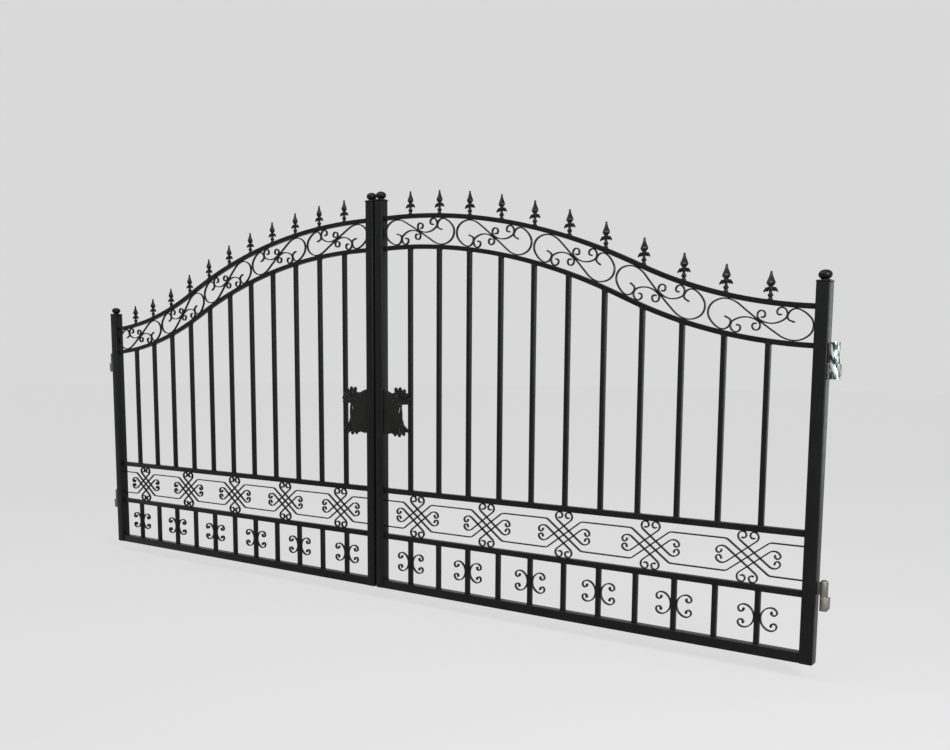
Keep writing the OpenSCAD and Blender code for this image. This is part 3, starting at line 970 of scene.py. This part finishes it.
for source, target in (
    (film_place.outputs["Object"], film_pull.inputs["Vector"]),
    (film_pull.outputs["Vector"], film_painted_light_bands.inputs["Vector"]),
    (film_painted_light_bands.outputs["Fac"], film_tone_and_painted_light.inputs["Fac"]),
    (film_tone_and_painted_light.outputs["Color"], film_shader.inputs["Base Color"]),
    (film_painted_light_bands.outputs["Fac"], film_gloss.inputs["Value"]),
    (film_gloss.outputs["Result"], film_shader.inputs["Roughness"]),
):
    film.node_tree.links.new(source, target)

hinge_axis = next(j for j in frame["joints"] if j["name"] == "right_leaf_swing")["pos_m"][0]
pin_barrel = 0.054
hinge_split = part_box("right_upper_pin")[0].z + pin_barrel
film_deep = 0.0185


def film_sleeve(z0, z1, left, right, seed):
    """A loose sleeve from the stile to past the barrel, in slanting ridges with sharp creases between."""
    metal = bmesh.new()
    around, up = 96, 40
    centre, stretch = hinge_axis + (right - left) / 2, (left + right) / 2 / film_deep
    outer, inner = [], []
    for j in range(up + 1):
        z = z0 + (z1 - z0) * j / up
        outer.append([])
        inner.append([])
        for k in range(around):
            a = k * math.tau / around
            wander = noise.noise(Vector((math.cos(a) * 0.9, math.sin(a) * 0.9, z * 26 + seed)))
            ridge = abs(math.sin(2.5 * a + z * 44 + 2.6 * wander + seed))
            r = film_deep * (0.80 + 0.20 * ridge ** 0.6) + 0.0012 * wander - 0.0006
            tear = 0.0035 * noise.noise(Vector((math.cos(a) * 2, math.sin(a) * 2, seed)))
            ragged = tear if j == up else 0.0
            for ring, size in ((outer[-1], 1.0), (inner[-1], 0.95)):
                reach = centre + stretch * r * size * math.cos(a)
                ring.append(Vector((reach, r * size * math.sin(a), z + ragged)))
    skin(metal, outer + inner[::-1], closed=True)
    return metal


upper_length = film_sleeve(hinge_split + 0.0025, hinge_split + 0.0760, 0.0226, 0.0160, 3.1)
piece_from("right_upper_film_high", upper_length, film, "right_leaf", crease=30)
lower_length = film_sleeve(hinge_split - 0.0545, hinge_split - 0.0010, 0.0222, 0.0212, 8.4)
piece_from("right_upper_film_low", lower_length, film, "hinge_roots", crease=30)


# ---- The floor, the light and the camera: a pale sheet under the hung gate, which gives off most of its own
# ---- brightness, a soft even room and three wide lamps, seen from before the right leaf at chest height.
floor_reach = 60
floor_drop = 0.06
floor_glow = 0.625
room_grey = (0.690, 0.697, 0.690, 1)
floor_mesh = bpy.data.meshes.new("floor_sheet")
floor_ways = ((-1, -1), (1, -1), (1, 1), (-1, 1))
floor_corners = [(floor_reach * a, floor_reach * b, foot - floor_drop) for a, b in floor_ways]
floor_mesh.from_pydata(floor_corners, [], [(0, 1, 2, 3)])
floor = bpy.data.objects.new("floor_sheet", floor_mesh)
bpy.context.scene.collection.objects.link(floor)
pale = bpy.data.materials.new("pale_floor")
pale.use_nodes = True
pale_shader = pale.node_tree.nodes["Principled BSDF"]
pale_shader.inputs["Base Color"].default_value = (0.08, 0.08, 0.08, 1)
pale_shader.inputs["Roughness"].default_value = 0.9
pale_shader.inputs["Specular IOR Level"].default_value = 0.0
pale_shader.inputs["Emission Color"].default_value = (1, 1, 1, 1)
pale_shader.inputs["Emission Strength"].default_value = floor_glow
floor_mesh.materials.append(pale)

room = bpy.data.worlds.new("room")
bpy.context.scene.world = room
room.use_nodes = True
room.node_tree.nodes["Background"].inputs["Color"].default_value = room_grey
room.node_tree.nodes["Background"].inputs["Strength"].default_value = 1.0
bpy.context.scene.view_settings.view_transform = "Standard"


def soft_lamp(name, place, target, size, power, tint=(1, 1, 1)):
    lamp = bpy.data.lights.new(name, "AREA")
    lamp.color = tint
    lamp.shape, lamp.size, lamp.size_y, lamp.energy = "RECTANGLE", size[0], size[1], power
    stand = bpy.data.objects.new(name, lamp)
    stand.location = place
    stand.rotation_mode = "QUATERNION"
    stand.rotation_quaternion = (Vector(target) - Vector(place)).to_track_quat("-Z", "Y")
    stand.visible_camera = False
    bpy.context.scene.collection.objects.link(stand)


soft_lamp("lamp_over", (middle, -1.8, foot + 4.6), (middle, 0, foot + 0.8), (5.0, 1.6), 150)
soft_lamp("lamp_right", (middle + 4.8, -2.2, foot + 2.4), (middle + 1.0, 0, foot + 1.0), (1.6, 2.2), 330)
cool = (0.86, 1.0, 0.97)
soft_lamp("lamp_far", (middle + 5.2, 7.0, foot + 1.6), (middle + 2.1, 0, foot + 1.0), (4.0, 4.0), 75, cool)

camera = bpy.data.cameras.new("viewer")
camera.sensor_width = 36
camera.lens = 965.4 / 950 * 36
camera.shift_y = 108.0 / 950
viewer = bpy.data.objects.new("viewer", camera)
viewer.location = (middle + 3.1465, -3.5327, foot + 1.0668)
viewer.rotation_mode = "QUATERNION"
yaw, pitch, roll = math.radians(35.90), math.radians(6.64), math.radians(0.396)
forward = Vector((-math.sin(yaw) * math.cos(pitch), math.cos(yaw) * math.cos(pitch), -math.sin(pitch)))
viewer.rotation_quaternion = forward.to_track_quat("-Z", "Y") @ Matrix.Rotation(roll, 3, "Z").to_quaternion()
bpy.context.scene.collection.objects.link(viewer)
bpy.context.scene.camera = viewer
